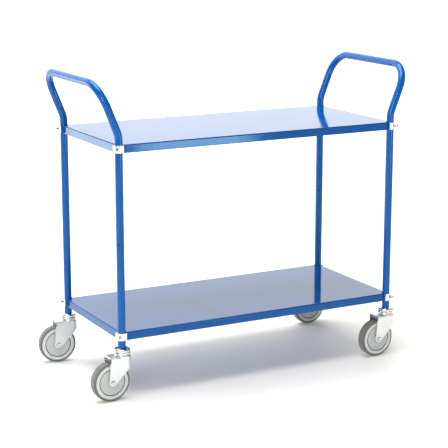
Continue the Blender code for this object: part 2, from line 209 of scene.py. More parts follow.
def prism(outline, low, high, name="prism"):
    """A flat outline of (x, y) pulled up from low to high."""
    work = bmesh.new()
    face = work.faces.new([work.verts.new((x, y, low)) for x, y in outline])
    raised = bmesh.ops.extrude_face_region(work, geom=[face])["geom"]
    tops = [item for item in raised if isinstance(item, bmesh.types.BMVert)]
    bmesh.ops.translate(work, verts=tops, vec=(0, 0, high - low))
    return object_from(work, name)


def circle(radius, sides):
    angles = [2 * math.pi * i / sides for i in range(sides)]
    return [(radius * math.cos(a), radius * math.sin(a)) for a in angles]


def hexagon(flats):
    return circle(flats / 2 / math.cos(math.pi / 6), 6)


def rounded(points, radius, steps):
    """A flat outline with each of its corners replaced by an arc."""
    result = []
    count = len(points)
    for i, point in enumerate(points):
        corner = Vector(point)
        back = Vector(points[i - 1]) - corner
        ahead = Vector(points[(i + 1) % count]) - corner
        reach = min(radius, back.length * 0.45, ahead.length * 0.45)
        start = corner + back.normalized() * reach
        end = corner + ahead.normalized() * reach
        for k in range(steps + 1):
            t = k / steps
            place = start * (1 - t) ** 2 + corner * 2 * t * (1 - t) + end * t * t
            result.append((place.x, place.y))
    return result


def arc(centre, radius, start, end, steps):
    angles = [start + (end - start) * i / steps for i in range(steps + 1)]
    return [(centre[0] + radius * math.cos(a), centre[1] + radius * math.sin(a)) for a in angles]


def moved(obj, matrix):
    obj.data.transform(matrix)
    return obj


def fillet(centre, radius, start, end, steps=4):
    """Profile points on an arc, angles in degrees, for a turned part."""
    return arc(centre, radius, math.radians(start), math.radians(end), steps)


# ---- where things are ------------------------------------------------------------------

def leg_axis(corner):
    """The leg's middle, which is also the axis its castor turns on."""
    low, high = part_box(f"swivel_head_{corner}")
    middle = (low + high) / 2
    return middle.x, middle.y


FRONT_LEFT, REAR_RIGHT = leg_axis("front_left"), leg_axis("rear_right")
LEG_X = (REAR_RIGHT[0] - FRONT_LEFT[0]) / 2
LEG_Y = (REAR_RIGHT[1] - FRONT_LEFT[1]) / 2
# The shelves' middle on the floor; the frames and shelves are modelled round it.
MIDDLE = Vector(((REAR_RIGHT[0] + FRONT_LEFT[0]) / 2, (REAR_RIGHT[1] + FRONT_LEFT[1]) / 2, 0))
TO_MIDDLE = Matrix.Translation(MIDDLE)
SHELF_TOPS = {level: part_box(f"{level}_shelf")[1].z for level in ("upper", "lower")}
FLANGE = SHELF_TOPS["upper"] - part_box("upper_shelf")[0].z
SHELF_HALF_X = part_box("upper_shelf")[1].x - MIDDLE.x
SHELF_HALF_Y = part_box("upper_shelf")[1].y - MIDDLE.y
LEG_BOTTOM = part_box("right_frame")[0].z
GRIP_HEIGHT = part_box("right_frame")[1].z - TUBE_RADIUS
CROWN_TOP = JOINTS["swivel_front_left_turn"]["pos_m"][2]
HEAD_LOW, HEAD_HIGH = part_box("swivel_head_front_left")
HEAD_BOTTOM = HEAD_LOW.z
HEAD_TOP = HEAD_HIGH.z
HEAD_RADIUS = (HEAD_HIGH.x - HEAD_LOW.x) / 2
WHEEL_RADIUS = JOINTS["wheel_front_left_spin"]["pos_m"][2]


def corner_matrix(corner, height):
    """Places a part whose +Z is to point out along the corner's diagonal."""
    side_x, side_y = CORNERS[corner]
    outwards = Vector((side_x, side_y, 0)).to_track_quat("Z", "Y").to_matrix().to_4x4()
    return Matrix.Translation((side_x * LEG_X, side_y * LEG_Y, height)) @ outwards


def leg_matrix(corner):
    """The foot of a leg, on the floor."""
    x, y = leg_axis(corner)
    return Matrix.Translation((x, y, 0))


def swivel_matrix(corner):
    """The castor's own frame: its swivel axis on Z, its wheel towards -X."""
    axis = JOINTS[f"wheel_{corner}_spin"]["axis"]
    turn = math.atan2(axis[0], -axis[1])
    return leg_matrix(corner) @ Matrix.Rotation(turn, 4, "Z")


def axle_matrix(corner):
    """A wheel's own frame: its axle on Z, which points to the castor's -Y side."""
    place = Matrix.Translation((-TRAIL, 0, WHEEL_RADIUS)) @ Matrix.Rotation(math.pi / 2, 4, "X")
    return swivel_matrix(corner) @ place


# ---- procedural materials --------------------------------------------------------------

class Shader:
    """A node material built call by call."""

    def __init__(self, name):
        self.material = bpy.data.materials.new(name)
        self.material.use_nodes = True
        self.tree = self.material.node_tree
        self.surface = self.tree.nodes["Principled BSDF"]
        self.place = self.tree.nodes.new("ShaderNodeTexCoord").outputs["Object"]

    def node(self, kind, values=None, **settings):
        made = self.tree.nodes.new(kind)
        for key, value in settings.items():
            setattr(made, key, value)
        for key, value in (values or {}).items():
            self.put(made.inputs[key], value)
        return made

    def put(self, socket, value):
        if isinstance(value, bpy.types.NodeSocket):
            self.tree.links.new(value, socket)
        else:
            socket.default_value = value

    def noise(self, scale, detail=3.0, roughness=0.5, stretch=None):
        place = self.place
        if stretch:
            place = self.node("ShaderNodeMapping", {"Vector": place, "Scale": stretch}).outputs[0]
        values = {"Vector": place, "Scale": scale, "Detail": detail, "Roughness": roughness}
        return self.node("ShaderNodeTexNoise", values).outputs["Fac"]

    def ramp(self, value, low, high, to_low=0.0, to_high=1.0):
        values = {0: value, 1: low, 2: high, 3: to_low, 4: to_high}
        made = self.tree.nodes.new("ShaderNodeMapRange")
        for key, item in values.items():
            self.put(made.inputs[key], item)
        return made.outputs[0]

    def mix(self, factor, first, second):
        made = self.node("ShaderNodeMix", data_type="RGBA")
        self.put(made.inputs[0], factor)
        self.put(made.inputs[6], first)
        self.put(made.inputs[7], second)
        return made.outputs[2]

    def maths(self, operation, first, second=0.5):
        made = self.node("ShaderNodeMath", operation=operation)
        self.put(made.inputs[0], first)
        self.put(made.inputs[1], second)
        return made.outputs[0]

    def times(self, first, second):
        return self.maths("MULTIPLY", first, second)

    def split(self, vector):
        return self.node("ShaderNodeSeparateXYZ", {0: vector}).outputs

    def length(self, vector):
        made = self.node("ShaderNodeVectorMath", {0: vector}, operation="LENGTH")
        return made.outputs["Value"]

    def from_axis(self):
        """How far a point is from a turned part's axis, and its place along that axis."""
        x, y, z = self.split(self.place)
        flat = self.node("ShaderNodeCombineXYZ", {0: x, 1: y, 2: 0.0})
        return self.length(flat.outputs[0]), z

    def openness(self, reach, samples):
        """Near 1 in the open and near 0 where the part's own walls are close around."""
        values = {"Distance": reach}
        made = self.node("ShaderNodeAmbientOcclusion", values, samples=samples, only_local=True)
        return made.outputs["AO"]

    def edge_normal(self, radius):
        return self.node("ShaderNodeBevel", {"Radius": radius}, samples=6).outputs[0]

    def bump(self, height, strength, distance, normal=None):
        values = {"Height": height, "Strength": strength, "Distance": distance}
        made = self.node("ShaderNodeBump", values)
        if normal is not None:
            self.put(made.inputs["Normal"], normal)
        return made.outputs[0]

    def finish(self, **values):
        for key, value in values.items():
            self.put(self.surface.inputs[key.replace("_", " ")], value)
        return self.material


def enamel(name, tone, waviness, sheet):
    """Glossy blue powder coat with orange peel and faint scuffs. On sheet, shade is painted along
    the bends, which are also duller; in a tube, shade is painted inside."""
    made = Shader(name)
    cloud = made.noise(9.0, 4.0)
    deep = (0.0010 * tone, 0.100 * tone, 0.430 * tone, 1)
    light = (0.0016 * tone, 0.112 * tone, 0.470 * tone, 1)
    base = made.mix(made.ramp(cloud, 0.35, 0.65), deep, light)
    scuffs = made.noise(60.0, 8.0, 0.7, (1.0, 6.0, 6.0))
    base = made.mix(made.ramp(scuffs, 0.62, 0.80, 0.0, 0.30), base, (0.030, 0.170, 0.600, 1))
    if sheet:
        # Painted shade along the bends: where the surface tilts between flat and upright, the blue
        # is mixed deeper.
        rise = made.split(made.node("ShaderNodeNewGeometry").outputs["Normal"])[2]
        bend = made.times(made.ramp(rise, 0.10, 0.30), made.ramp(rise, 0.90, 0.985, 1.0, 0.0))
        base = made.mix(made.times(bend, 0.8), base, (0.0006, 0.040, 0.200, 1))
        shine = made.ramp(bend, 0.0, 1.0, 0.5, 0.12)
        soft_edges = made.edge_normal(0.0006)
    else:
        # Painted shade inside the tube: the blue goes nearly black where the tube's own walls close
        # round.
        inside = made.ramp(made.openness(0.02, 4), 0.45, 0.70, 0.97, 0.0)
        base = made.mix(inside, base, (0.0004, 0.004, 0.012, 1))
        shine = 0.5
        soft_edges = None
    grain = made.noise(430.0, 2.0)
    swell = made.noise(5.5, 1.0)
    normal = made.bump(swell, waviness, 0.004, soft_edges)
    normal = made.bump(grain, 0.012, 0.00008, normal)
    smear = made.noise(22.0, 6.0, 0.6)
    rough = made.ramp(smear, 0.3, 0.75, 0.05, 0.13)
    return made.finish(
        Base_Color=base,
        Roughness=rough,
        Normal=normal,
        IOR=1.52,
        Specular_IOR_Level=shine,
        Specular_Tint=(0.45, 0.80, 1.0, 1),
    )


def zinc(name, tone, rough_low, rough_high, edge, painted_lip_shade=False):
    """Bright zinc plate: a faint bluish cast, cloudy roughness and fine drawing marks. The lip flag
    paints shade onto the rolled lip at the back of a fork."""
    made = Shader(name)
    cloud = made.noise(38.0, 5.0, 0.6)
    cool = (tone * 0.93, tone * 0.99, tone * 1.02, 1)
    warm = (tone * 0.97, tone * 0.98, tone * 0.97, 1)
    base = made.mix(made.ramp(cloud, 0.32, 0.68), cool, warm)
    drawn = made.noise(210.0, 5.0, 0.65, (1.0, 1.0, 0.10))
    stain = made.noise(85.0, 7.0, 0.7)
    base = made.mix(made.ramp(stain, 0.60, 0.78, 0.0, 0.28), base, (0.52, 0.54, 0.56, 1))
    # Painted shade: the rolled lip at the back of the fork is mixed nearly black.
    if painted_lip_shade:
        x, _, z = made.split(made.place)
        behind = made.ramp(x, -TRAIL - 0.0030, -TRAIL - 0.0070)
        below = made.ramp(z, CROWN_TOP - 0.0002, CROWN_TOP - LIP_BEND, 0.0, 0.90)
        above = made.ramp(z, CROWN_TOP - 0.0180, CROWN_TOP - 0.0150)
        lip = made.times(made.times(behind, below), above)
        base = made.mix(lip, base, (0.045, 0.062, 0.062, 1))
    rough = made.ramp(made.maths("ADD", cloud, drawn), 0.75, 1.25, rough_low, rough_high)
    normal = made.bump(drawn, 0.16, 0.00012, made.edge_normal(edge))
    return made.finish(Base_Color=base, Metallic=1.0, Roughness=rough, Normal=normal)


def tyre_rubber():
    """Grey non-marking rubber with mould rings, a dusty tread and a matt sheen."""
    made = Shader("tyre_rubber_look")
    radius, height = made.from_axis()
    speckle = made.noise(520.0, 5.0, 0.65)
    cloud = made.noise(30.0, 5.0, 0.6)
    dark, light = (0.128, 0.134, 0.124, 1), (0.165, 0.170, 0.158, 1)
    base = made.mix(made.ramp(cloud, 0.3, 0.7), dark, light)
    tread = made.ramp(radius, WHEEL_RADIUS - 0.0020, WHEEL_RADIUS - 0.0001)
    dust = made.times(tread, made.ramp(speckle, 0.35, 0.7))
    base = made.mix(made.times(dust, 0.45), base, (0.27, 0.268, 0.25, 1))
    ribs = made.maths("SINE", made.times(height, 5200.0), 0.0)
    relief = made.maths("ADD", made.times(ribs, 0.35), speckle)
    normal = made.bump(relief, 0.35, 0.00018, made.edge_normal(0.0004))
    rough = made.ramp(cloud, 0.3, 0.7, 0.52, 0.72)
    return made.finish(Base_Color=base, Roughness=rough, Normal=normal, Sheen_Weight=0.15)


def core_plastic():
    """Light grey moulded plastic with turned rings, a fine grain and painted shade in the groove.
    """
    made = Shader("core_plastic_look")
    radius, height = made.from_axis()
    cloud = made.noise(26.0, 4.0, 0.6)
    grain = made.noise(700.0, 3.0)
    ring = made.ramp(radius, DISC_RADIUS + 0.0008, DISC_RADIUS + 0.0012)
    base = made.mix(ring, (0.520, 0.552, 0.552, 1), (0.670, 0.706, 0.706, 1))
    base = made.mix(made.ramp(cloud, 0.35, 0.7, 0.0, 0.30), base, (0.480, 0.507, 0.503, 1))
    # Painted shade where the core's own walls close round.
    shade = made.ramp(made.openness(0.003, 6), 0.35, 0.85, 0.85, 0.0)
    base = made.mix(shade, base, (0.035, 0.038, 0.040, 1))
    face = WHEEL_WIDTH / 2
    # Painted shade in the sunk groove: the deepest parts of the face are mixed nearly black.
    sunk_shade = made.ramp(made.maths("ABSOLUTE", height), face - 0.0028, face - 0.0016, 0.98, 0.0)
    base = made.mix(sunk_shade, base, (0.010, 0.013, 0.014, 1))
    rings = made.maths("SINE", made.times(radius, 9000.0), 0.0)
    relief = made.maths("ADD", made.times(rings, 0.12), grain)
    normal = made.bump(relief, 0.22, 0.00010, made.edge_normal(0.0003))
    rough = made.ramp(cloud, 0.3, 0.7, 0.34, 0.50)
    return made.finish(Base_Color=base, Roughness=rough, Normal=normal)


def dark_plastic():
    """Nearly black plastic with a fine moulded grain."""
    made = Shader("insert_plastic_look")
    grain = made.noise(600.0, 4.0)
    dark, light = (0.020, 0.020, 0.023, 1), (0.045, 0.045, 0.050, 1)
    base = made.mix(made.ramp(grain, 0.3, 0.7), dark, light)
    normal = made.bump(grain, 0.3, 0.0001)
    return made.finish(Base_Color=base, Roughness=0.45, Normal=normal)


TUBE_ENAMEL = enamel("tube_enamel_look", 0.84, 0.0, sheet=False)
SHEET_ENAMEL = enamel("sheet_enamel_look", 0.70, 0.05, sheet=True)
CLAMP_ZINC = zinc("clamp_zinc_look", 0.86, 0.16, 0.34, 0.0005)
FORK_ZINC = zinc("fork_zinc_look", 0.80, 0.24, 0.44, 0.0009, painted_lip_shade=True)
HEAD_ZINC = zinc("head_zinc_look", 0.78, 0.07, 0.17, 0.0005)
BOLT_ZINC = zinc("bolt_zinc_look", 0.64, 0.12, 0.26, 0.0003)
TYRE = tyre_rubber()
CORE = core_plastic()
DARK = dark_plastic()


def finished(obj, material):
    obj.data.materials.clear()
    obj.data.materials.append(material)


def seated(obj, body, slot, node):
    """Gives a piece its body and hides the CAD node it stands for. The slot is not used."""
    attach(obj, body)
    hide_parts(node)


def copies(make, material, slot, place, body_of, nodes):
    """One mesh, shared by every copy of a piece, each placed and riding on its body."""
    pattern = make("pattern")
    finished(pattern, material)
    for node in nodes:
        piece = bpy.data.objects.new(f"{node}_look", pattern.data)
        bpy.context.scene.collection.objects.link(piece)
        piece.matrix_world = place(node)
        seated(piece, body_of(node), slot, node)
    bpy.data.objects.remove(pattern, do_unlink=True)


# ---- tube frames -----------------------------------------------------------------------

def bend_points(before, corner, after, radius, steps=18):
    """Points round the bend that takes a path past a corner."""
    back = (before - corner).normalized()
    ahead = (after - corner).normalized()
    half = back.angle(ahead) / 2
    start = corner + back * radius / math.tan(half)
    centre = corner + (back + ahead).normalized() * radius / math.sin(half)
    spin = (corner - before).cross(after - corner).normalized()
    turn = math.pi - 2 * half
    spins = [Matrix.Rotation(turn * i / steps, 3, spin) for i in range(steps + 1)]
    return [centre + rotation @ (start - centre) for rotation in spins]


def hole_heights():
    """Each leg's holes as height and radius: two for the shelf bolts and a spare between them."""
    spare = (SHELF_TOPS["upper"] + SHELF_TOPS["lower"]) / 2 - CLAMP_DROP
    heights = {top - CLAMP_DROP: BOLT_HOLE_RADIUS for top in SHELF_TOPS.values()}
    heights[spare] = SPARE_HOLE_RADIUS
    return heights


def frame_path():
    """The right frame's centre line: up one leg, over the grip and down the other leg."""
    bend = SHELF_TOPS["upper"] + BEND_START + LEAN_BEND_RADIUS * math.tan(HANDLE_LEAN / 2)
    grip_x = LEG_X + (GRIP_HEIGHT - bend) * math.tan(HANDLE_LEAN)
    corners = [
        Vector((LEG_X, -LEG_Y, LEG_BOTTOM)),
        Vector((LEG_X, -LEG_Y, bend)),
        Vector((grip_x, -LEG_Y, GRIP_HEIGHT)),
        Vector((grip_x, LEG_Y, GRIP_HEIGHT)),
        Vector((LEG_X, LEG_Y, bend)),
        Vector((LEG_X, LEG_Y, LEG_BOTTOM)),
    ]
    around_holes = sorted(h + side * HOLE_RIM for h in hole_heights() for side in (-1, 1))
    path = [corners[0]] + [Vector((LEG_X, -LEG_Y, h)) for h in around_holes]
    radii = [LEAN_BEND_RADIUS, GRIP_BEND_RADIUS, GRIP_BEND_RADIUS, LEAN_BEND_RADIUS]
    for i, radius in enumerate(radii, start=1):
        path += bend_points(corners[i - 1], corners[i], corners[i + 1], radius)
    path += [Vector((LEG_X, LEG_Y, h)) for h in reversed(around_holes)]
    return path + [corners[-1]]


def tube_rings(path, radius, sides=48):
    """Rings square to the path, carried along it without twist."""
    rings = []
    across = Vector((1, 0, 0))
    for i, point in enumerate(path):
        ahead = path[min(i + 1, len(path) - 1)]
        behind = path[max(i - 1, 0)]
        along = (ahead - behind).normalized()
        across = (across - along * across.dot(along)).normalized()
        other = along.cross(across)
        angles = [2 * math.pi * (k + 0.5) / sides for k in range(sides)]
        spokes = [across * math.cos(a) + other * math.sin(a) for a in angles]
        rings.append([point + spoke * radius for spoke in spokes])
    return rings


def make_frame(side, node):
    """A bent tube with its bore and holes. side is -1 for the left and 1 for the right."""
    path = [Vector((side * p.x, p.y, p.z)) for p in frame_path()]
    outer = tube_rings(path, TUBE_RADIUS)
    inner = tube_rings(path, TUBE_RADIUS - TUBE_WALL)
    tube = loft(outer + inner[::-1], f"{node}_tube", joined=True)
    holes = []
    for corner, (side_x, _) in CORNERS.items():
        if side_x != side:
            continue
        for height, radius in hole_heights().items():
            hole = prism(circle(radius, 28), -2 * TUBE_RADIUS, 2 * TUBE_RADIUS)
            holes.append(moved(hole, corner_matrix(corner, height)))
    moved(combined(tube, holes, "DIFFERENCE"), TO_MIDDLE)
    finished(tube, TUBE_ENAMEL)
    seated(tube, "frame", "frame_enamel", node)


# ---- shelves ---------------------------------------------------------------------------

def shelf_ring(inset, height):
    """The shelf's plan at this inset, with a hollow at each corner for the leg."""
    half_x = SHELF_HALF_X - inset
    half_y = SHELF_HALF_Y - inset
    hollow = TUBE_RADIUS + 2 * GAP + inset
    points = []
    for side_x, side_y in ((1, 1), (-1, 1), (-1, -1), (1, -1)):
        start = -math.acos((half_x - LEG_X) / hollow)
        end = math.acos((half_y - LEG_Y) / hollow) + math.pi / 2 - 2 * math.pi
        curve = arc((LEG_X, LEG_Y), hollow, start, end, 20)
        if side_x * side_y < 0:
            curve.reverse()
        points += [Vector((side_x * x, side_y * y, height)) for x, y in curve]
    return points


def make_shelf(level):
    """A pressed sheet with its edges folded down, and a hole at each corner for the bolt."""
    top = SHELF_TOPS[level]
    radius = SHELF_EDGE_RADIUS
    steps = 8
    rings = [shelf_ring(SHEET, top - FLANGE), shelf_ring(0.0002, top - FLANGE)]
    rings += [shelf_ring(0, top - FLANGE + 0.0004), shelf_ring(0, top - FLANGE + 2 * FLAT_RIM)]
    rings += [shelf_ring(0, top - radius - FLAT_RIM), shelf_ring(0, top - radius)]
    for k in range(1, steps + 1):
        angle = math.pi / 2 * k / steps
        inset = radius * (1 - math.cos(angle))
        rings.append(shelf_ring(inset, top - radius + radius * math.sin(angle)))
    rings.append(shelf_ring(radius + FLAT_RIM, top))
    inner = radius - SHEET
    under = [shelf_ring(SHEET, top - radius - FLAT_RIM), shelf_ring(SHEET, top - radius)]
    for k in range(1, steps // 2 + 1):
        angle = math.pi / 2 * k / (steps // 2)
        inset = SHEET + inner * (1 - math.cos(angle))
        under.append(shelf_ring(inset, top - radius + inner * math.sin(angle)))
    under.append(shelf_ring(radius + FLAT_RIM, top - SHEET))
    outside = loft(rings, f"{level}_shelf_sheet", cap_last=True)
    inside = loft([rings[0]] + under, "inside", cap_last=True)
    work = bmesh.new()
    work.from_mesh(outside.data)
    work.from_mesh(inside.data)
    bpy.data.objects.remove(inside, do_unlink=True)
    bpy.data.objects.remove(outside, do_unlink=True)
    shelf = object_from(work, f"{level}_shelf_sheet")
    holes = []
    for corner in CORNERS:
        hole = prism(circle(BOLT_HOLE_RADIUS, 20), -3 * TUBE_RADIUS, 0)
        holes.append(moved(hole, corner_matrix(corner, top - CLAMP_DROP)))
    moved(combined(shelf, holes, "DIFFERENCE"), TO_MIDDLE)
    finished(shelf, SHEET_ENAMEL)
    seated(shelf, "frame", "shelf_enamel", f"{level}_shelf")


# ---- corner fasteners ------------------------------------------------------------------

def clamp_piece(name):
    """A pressed saddle whose ears roll outwards, its middle facing +Z."""
    inner = TUBE_RADIUS + GAP
    outer = inner + CLAMP_SHEET
    start = math.radians(12)
    low = inner * math.sin(start)
    ear = outer * math.cos(start) + CLAMP_EAR
    bend = 0.0016
    right = [(ear - CLAMP_SHEET / 2 + 0.0008, low), (ear, low + CLAMP_SHEET / 2)]
    right += [(ear - CLAMP_SHEET / 2 + 0.0008, low + CLAMP_SHEET)]
    right += [(outer * math.cos(start) + bend, low + CLAMP_SHEET)]
    outside = arc((0, 0), outer, start + 0.20, math.pi - start - 0.20, 40)
    inside = arc((0, 0), inner, math.pi - start, start, 40)
    left = [(-x, y) for x, y in reversed(right)]
    saddle = prism(right + outside + left + inside, -CLAMP_HEIGHT / 2, CLAMP_HEIGHT / 2, name)
    moved(saddle, Matrix.Rotation(math.pi / 2, 4, "X"))
    hole = prism(circle(BOLT_HOLE_RADIUS, 24), 0, 2 * TUBE_RADIUS)
    return combined(saddle, [hole], "DIFFERENCE")


def chamfered_hexagon(flats, low, high, name):
    """A hexagon prism whose corners are turned away at its ends, as a real nut's are."""
    outline = hexagon(flats)
    body = prism(outline, low, high, name)
    corner, _ = outline[0]
    wide, narrow = corner * 1.02, flats / 2 * 0.97
    drop = (wide - narrow) * 0.55
    profile = [(narrow, high + TRIM), (0.0, high + TRIM), (0.0, low - TRIM)]
    profile += [(narrow, low - TRIM), (wide, low + drop), (wide, high - drop)]
    return combined(body, [solid_turned(profile)], "INTERSECT", 25)


def cap_nut_piece(name):
    """A domed nut on a thin collar, its thread open towards the clamp."""
    seat = TUBE_RADIUS + CLAMP_SHEET + 2 * GAP
    shoulder = seat + CAP_NUT_HEX
    radius = M6_FLATS / 2 * 0.94
    body = chamfered_hexagon(M6_FLATS, seat + 0.0004, shoulder, name)
    dome = [(radius, shoulder - 0.002), (radius, shoulder + 0.0005)]
    for k in range(1, 13):
        angle = math.pi / 2 * k / 12
        rise = (CAP_NUT_DOME - 0.0005) * math.sin(angle)
        dome.append((max(radius * math.cos(angle), 0.0), shoulder + 0.0005 + rise))
    dome.append((0.0, shoulder - 0.002))
    collar = prism(circle(M6_FLATS / 2 * 1.10, 40), seat, seat + 0.0007)
    combined(body, [solid_turned(dome), collar], "UNION", 28)
    thread = prism(circle(M6_THREAD, 24), seat - 0.004, shoulder + 0.0006)
    return combined(body, [thread], "DIFFERENCE", 28)


def corner_bolt_piece(name):
    """A bolt whose head sits inside the shelf's hollow corner."""
    seat = -(TUBE_RADIUS + 3 * GAP + SHEET)
    tip = TUBE_RADIUS + CLAMP_SHEET + 2 * GAP + CAP_NUT_HEX
    head = chamfered_hexagon(M6_FLATS, seat - 0.004, seat, name)
    shank = prism(circle(M6_SHANK, 28), seat - 0.002, tip)
    return combined(head, [shank], "UNION", 28)


def make_corner_fasteners():
    """A clamp, a bolt and a cap nut at each corner of each shelf."""
    kinds = {
        "clamp": (clamp_piece, CLAMP_ZINC, "zinc_clamp"),
        "bolt": (corner_bolt_piece, BOLT_ZINC, "zinc_fastener"),
        "cap_nut": (cap_nut_piece, BOLT_ZINC, "zinc_fastener"),
    }
    for kind, (make, material, slot) in kinds.items():
        nodes = [f"{kind}_{level}_{corner}" for level in SHELF_TOPS for corner in CORNERS]

        def place(node, kind=kind):
            level, corner = node.removeprefix(f"{kind}_").split("_", 1)
            return TO_MIDDLE @ corner_matrix(corner, SHELF_TOPS[level] - CLAMP_DROP)

        copies(make, material, slot, place, lambda node: "frame", nodes)


# ---- castors ---------------------------------------------------------------------------

def head_piece(name):
    """The fixed cup of the swivel bearing, a bright pressed ring with crimp marks."""
    bore = KING_RADIUS + GAP
    rim = HEAD_RADIUS
    profile = [(bore, HEAD_TOP), (0.0135, HEAD_TOP), (0.0150, HEAD_TOP - 0.0010)]
    profile += [(0.0178, HEAD_TOP - 0.0014), (0.0200, HEAD_TOP - 0.0004)]
    profile += fillet((rim - 0.0042, HEAD_TOP - 0.0042), 0.0042, 88, 8, 9)
    profile += [(rim - 0.0001, HEAD_TOP - 0.0060), (rim - 0.0010, HEAD_TOP - 0.0078)]
    profile += [(rim - 0.0010, HEAD_TOP - 0.0096), (rim, HEAD_TOP - 0.0112)]
    profile += [(rim, HEAD_BOTTOM + 0.0012)]
    profile += [(rim - 0.0004, HEAD_BOTTOM + 0.0003), (rim - 0.0012, HEAD_BOTTOM)]
    profile += [(0.0245, HEAD_BOTTOM), (0.0240, HEAD_BOTTOM + 0.0012)]
    profile += [(bore, HEAD_BOTTOM + 0.0012)]

    def crimped(angle, radius, height):
        if radius < 0.024 or height > HEAD_TOP - 0.005:
            return radius
        share = (angle / (2 * math.pi) * CRIMPS) % 1.0 - 0.5
        depth = max(0.0, 1 - (share / 0.10) ** 2)
        return radius - 0.0011 * depth

    return turned(profile, name, 160, crimped)


def fork_ring(inset, height):
    """A fork's plan at one height: straight cheeks and a half-round nose, open far behind."""
    half = FORK_HALF_WIDTH - inset
    nose = arc((FORK_NOSE, 0), half, -math.pi / 2, math.pi / 2, 28)
    back = -2 * TRAIL
    return [Vector((x, y, height)) for x, y in [(back, -half)] + nose + [(back, half)]]


def fork_shell(name):
    """The fork's skin with its crown's edge rolled over, before its sides are trimmed."""
    low = WHEEL_RADIUS - 2 * FORK_TIP_RADIUS
    bend_low = CROWN_TOP - CROWN_BEND
    inner_bend = CROWN_BEND - FORK_SHEET
    rings = [fork_ring(0, height) for height in (low, bend_low - FLAT_RIM, bend_low)]
    heights = (low - TUBE_RADIUS, bend_low - FLAT_RIM, bend_low)
    inside = [fork_ring(FORK_SHEET, height) for height in heights]
    steps = 7
    for k in range(1, steps + 1):
        angle = math.pi / 2 * k / steps
        drop, rise = 1 - math.cos(angle), math.sin(angle)
        rings.append(fork_ring(CROWN_BEND * drop, bend_low + CROWN_BEND * rise))
        inset = FORK_SHEET + inner_bend * drop
        inside.append(fork_ring(inset, bend_low + inner_bend * rise))
    rings.append(fork_ring(CROWN_BEND + FLAT_RIM, CROWN_TOP))
    for point in [point for ring in inside for point in ring if point.x <= -TRAIL]:
        point.x = -3 * TRAIL
    outer = loft(rings, name, cap_first=True, cap_last=True)
    inner = loft(inside, "inner", cap_first=True, cap_last=True)
    return combined(outer, [inner], "DIFFERENCE")


def fork_side():
    """A fork's side view as (x, z)."""
    axle = (-TRAIL, WHEEL_RADIUS)
    tip = arc(axle, FORK_TIP_RADIUS, math.radians(184), math.radians(318), 20)
    top = CROWN_TOP + 0.01
    steps = 6
    corners = [tip[-1], (0.0140, 0.1010), (0.0250, 0.1130), (0.0330, 0.1270), (0.0340, top)]
    front = rounded(corners, 0.012, steps)[steps + 1 : 1 - steps]
    return [(-TRAIL - 0.006, top)] + tip + front + [corners[-1]]


def fork_lip():
    """The crown's rear edge, rolled down and in over the tyre."""
    bend = (-TRAIL - 0.0040, CROWN_TOP - LIP_BEND)
    lean = math.radians(182)
    outside = arc(bend, LIP_BEND, math.pi / 2, lean, 8)
    inside = arc(bend, LIP_BEND - FORK_SHEET, lean, math.pi / 2, 8)
    run = Vector((0.035, -0.999)) * LIP_LENGTH
    ends = [(Vector(point) + run)[:] for point in (outside[-1], inside[0])]
    outline = [(-TRAIL + 0.012, CROWN_TOP)] + outside + ends + inside
    outline.append((-TRAIL + 0.012, CROWN_TOP - FORK_SHEET))
    half = FORK_HALF_WIDTH - 0.0012
    return moved(prism(outline, -half, half), Matrix.Rotation(math.pi / 2, 4, "X"))


def fork_piece(name):
    """A fork: two cheeks, a crown with its lip and the raised lower race, and two holes."""
    shell = fork_shell(name)
    side = prism(fork_side(), -TRAIL, TRAIL)
    moved(side, Matrix.Rotation(math.pi / 2, 4, "X"))
    combined(shell, [side], "INTERSECT")
    foot, race_top = RACE_RADIUS + 0.0015, HEAD_BOTTOM - GAP
    race = [(0.0, CROWN_TOP - 0.002), (foot, CROWN_TOP - 0.002), (foot, CROWN_TOP + 0.0001)]
    race += [(RACE_RADIUS + 0.0006, CROWN_TOP + 0.0006), (RACE_RADIUS, CROWN_TOP + 0.0020)]
    race += [(RACE_RADIUS - 0.0003, race_top - 0.0008), (RACE_RADIUS - 0.0012, race_top)]
    race.append((0.0, race_top))
    combined(shell, [fork_lip(), solid_turned(race, 72)], "UNION")
    king_hole = prism(circle(KING_RADIUS + 2 * GAP, 32), 0.1, 0.2)
    axle_hole = moved(
        prism(circle(AXLE_RADIUS + GAP, 28), -TRAIL, TRAIL),
        Matrix.Translation((-TRAIL, 0, WHEEL_RADIUS)) @ Matrix.Rotation(math.pi / 2, 4, "X"),
    )
    return combined(shell, [king_hole, axle_hole], "DIFFERENCE", 28)


def axle_bolt_piece(name):
    """The axle, with its head and washer outside one cheek of the fork."""
    seat = FORK_HALF_WIDTH + GAP
    head = chamfered_hexagon(M8_FLATS, seat + 0.0009, seat + 0.0053, name)
    washer = prism(circle(AXLE_WASHER_RADIUS, 48), seat, seat + 0.0011)
    shank = prism(circle(AXLE_RADIUS, 32), -seat - 0.009, seat + 0.003)
    return combined(head, [washer, shank], "UNION", 28)


def axle_nut_piece(name):
    """The axle's nut and washer, outside the other cheek."""
    seat = -FORK_HALF_WIDTH - GAP
    nut = chamfered_hexagon(M8_FLATS, seat - 0.0065, seat - 0.0009, name)
    washer = prism(circle(AXLE_WASHER_RADIUS, 48), seat - 0.0011, seat)
    combined(nut, [washer], "UNION", 28)
    bore = prism(circle(AXLE_RADIUS + GAP, 32), seat - 0.02, seat + 0.01)
    return combined(nut, [bore], "DIFFERENCE", 28)


def both_faces(half):
    """A closed profile from its upper half, listed from the bore outwards."""
    return half + [(radius, -height) for radius, height in reversed(half)]


